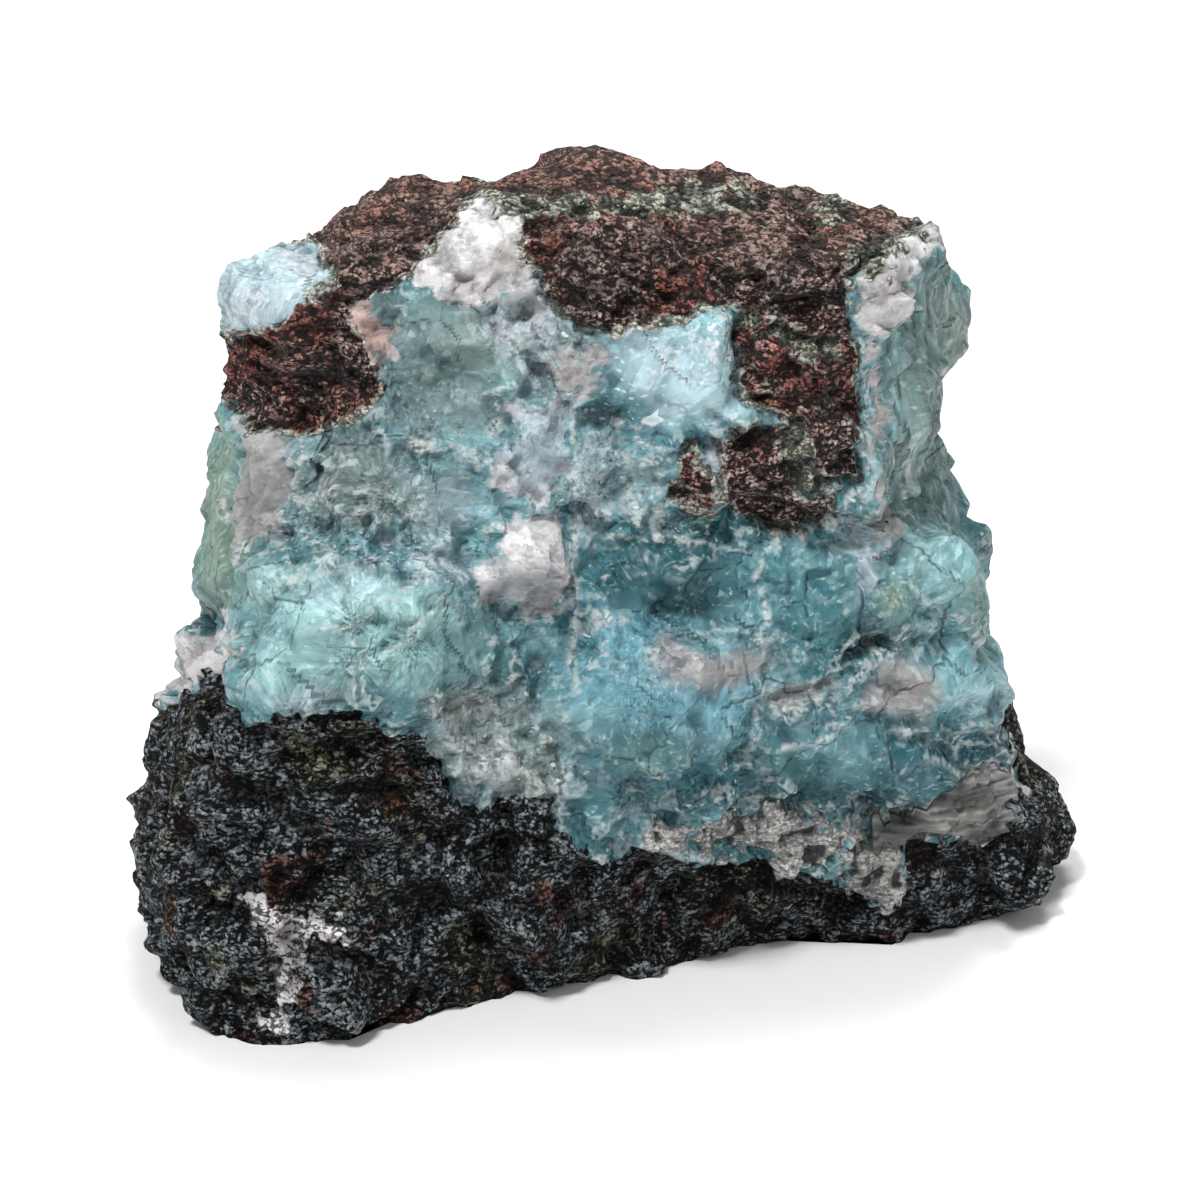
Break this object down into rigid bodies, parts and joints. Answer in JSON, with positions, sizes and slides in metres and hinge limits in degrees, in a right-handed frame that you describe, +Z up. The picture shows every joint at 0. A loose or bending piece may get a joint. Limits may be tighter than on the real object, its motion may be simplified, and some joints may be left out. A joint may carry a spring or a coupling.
{
  "type": "larimar rough",
  "caption": "Rough lump of larimar: a vein of blue pectolite between a dark basalt foot and a red basalt cap, broken all over and flat underneath.",
  "frame": {"origin": "on the resting plane, under the middle of the stone's box", "axes": "+X to the right across the showing face, +Y to the back, +Z up from the flat underside"},
  "size_m": [0.1242, 0.0826, 0.1035],
  "materials": {
    "pectolite_in_basalt": "broken natural rock: waxy to silky blue pectolite, dull granular basalt"
  },
  "bodies": {
    "root": {"larimar_stone": "pectolite_in_basalt"}
  },
  "joints": []
}
